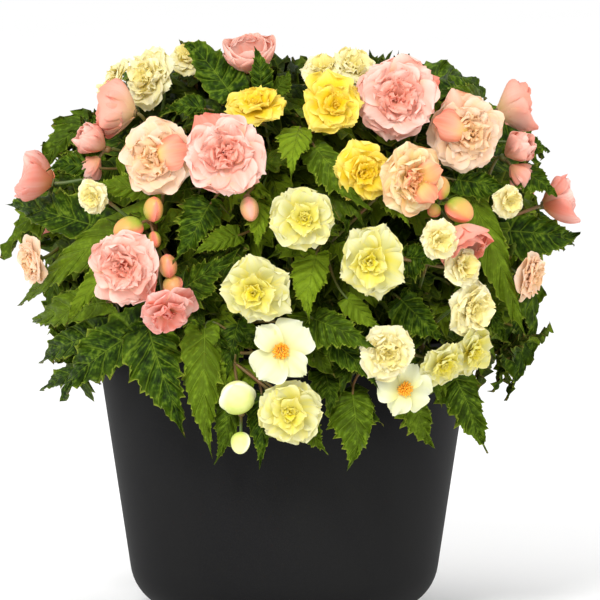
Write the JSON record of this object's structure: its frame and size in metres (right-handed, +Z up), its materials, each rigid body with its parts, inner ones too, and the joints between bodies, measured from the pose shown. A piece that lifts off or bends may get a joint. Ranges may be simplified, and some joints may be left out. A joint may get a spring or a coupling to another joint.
{
  "type": "potted begonia",
  "caption": "Trailing begonia in full bloom in a tapered dark planter: a mound of toothed leaves with double and single blooms and buds, standing on a flat foot",
  "frame": {"origin": "On the floor, at the middle of the planter's flat foot", "axes": "+Z up along the planter's axis, the front of the plant towards -Y, +X to the right as seen from the front"},
  "size_m": [0.4482, 0.4531, 0.4556],
  "materials": {
    "pot": "Moulded planter plastic, charcoal black, evenly matt with a faint sheen.",
    "soil": "Moist dark brown potting compost with fibres and small crumbs.",
    "leaf": "Toothed leaves, dark to yellow-green with paler veins and margins, softly hairy with a satin sheen; stems green to reddish.",
    "petal_pink": "Thin pink petals, paler at the edge and salmon pink towards the heart.",
    "petal_coral": "Coral-pink petals, deeper on the backs of the outer ones.",
    "petal_apricot": "Cream to apricot petals with a pink flush at the edges.",
    "petal_yellow": "Clear yellow petals, lighter at the ruffled edges.",
    "petal_lemon": "Pale lemon petals, yellow in the heart.",
    "petal_cream": "Creamy white petals, pale yellow in the heart.",
    "bud": "Closed buds, green-apricot to coral, pale on the low front ones."
  },
  "bodies": {
    "root": {"pot": "pot", "soil": "soil", "leafy_stem_front": "leaf", "leafy_stem_front_right": "leaf", "leafy_stem_right": "leaf", "leafy_stem_back_right": "leaf", "leafy_stem_back_left": "leaf", "leafy_stem_left": "leaf", "leafy_stem_front_left": "leaf", "leafy_stem_middle": "leaf", "bloom_pink_front": "petal_pink", "bloom_apricot_left": "petal_apricot", "bloom_pink_cup_left": "petal_pink", "bloom_pink_low_left": "petal_pink", "bloom_coral_small_left": "petal_coral", "bloom_coral_far_left": "petal_coral", "bloom_apricot_far_left": "petal_apricot", "bloom_pink_top": "petal_pink", "bloom_pink_right": "petal_pink", "bloom_apricot_right": "petal_apricot", "bloom_pink_cup_right": "petal_pink", "bloom_coral_far_right": "petal_coral", "bloom_apricot_far_right": "petal_apricot", "bloom_pink_low_right": "petal_pink", "bloom_apricot_middle_right": "petal_apricot", "bloom_yellow_top": "petal_yellow", "bloom_yellow_top_left": "petal_yellow", "bloom_yellow_middle": "petal_yellow", "bloom_lemon_middle": "petal_lemon", "bloom_lemon_left": "petal_lemon", "bloom_lemon_right": "petal_lemon", "bloom_lemon_low": "petal_lemon", "bloom_cream_single_left": "petal_cream", "bloom_cream_low": "petal_cream", "bloom_cream_pair_right": "petal_cream", "bloom_lemon_pair_right": "petal_lemon", "bloom_cream_single_right": "petal_cream", "bloom_cream_small_right": "petal_cream", "bloom_cream_pair_top_left": "petal_cream", "bloom_cream_small_left": "petal_cream", "bloom_cream_pair_top_right": "petal_cream", "bloom_cream_small_far_right": "petal_cream", "bloom_cream_top": "petal_cream", "bloom_pink_back_left": "petal_pink", "bloom_apricot_back": "petal_apricot", "bloom_lemon_back_right": "petal_lemon", "bloom_yellow_back": "petal_yellow", "bloom_pink_back_right": "petal_pink", "bloom_cream_back_left": "petal_cream", "bloom_coral_back_left": "petal_coral", "bloom_lemon_back_low": "petal_lemon", "bloom_apricot_back_low": "petal_apricot", "bloom_cream_single_back": "petal_cream", "buds_left": "bud", "buds_right": "bud", "buds_far_left": "bud", "buds_far_right": "bud", "buds_pink_front": "bud", "buds_lemon_low": "bud", "buds_coral_left": "bud"}
  },
  "joints": []
}
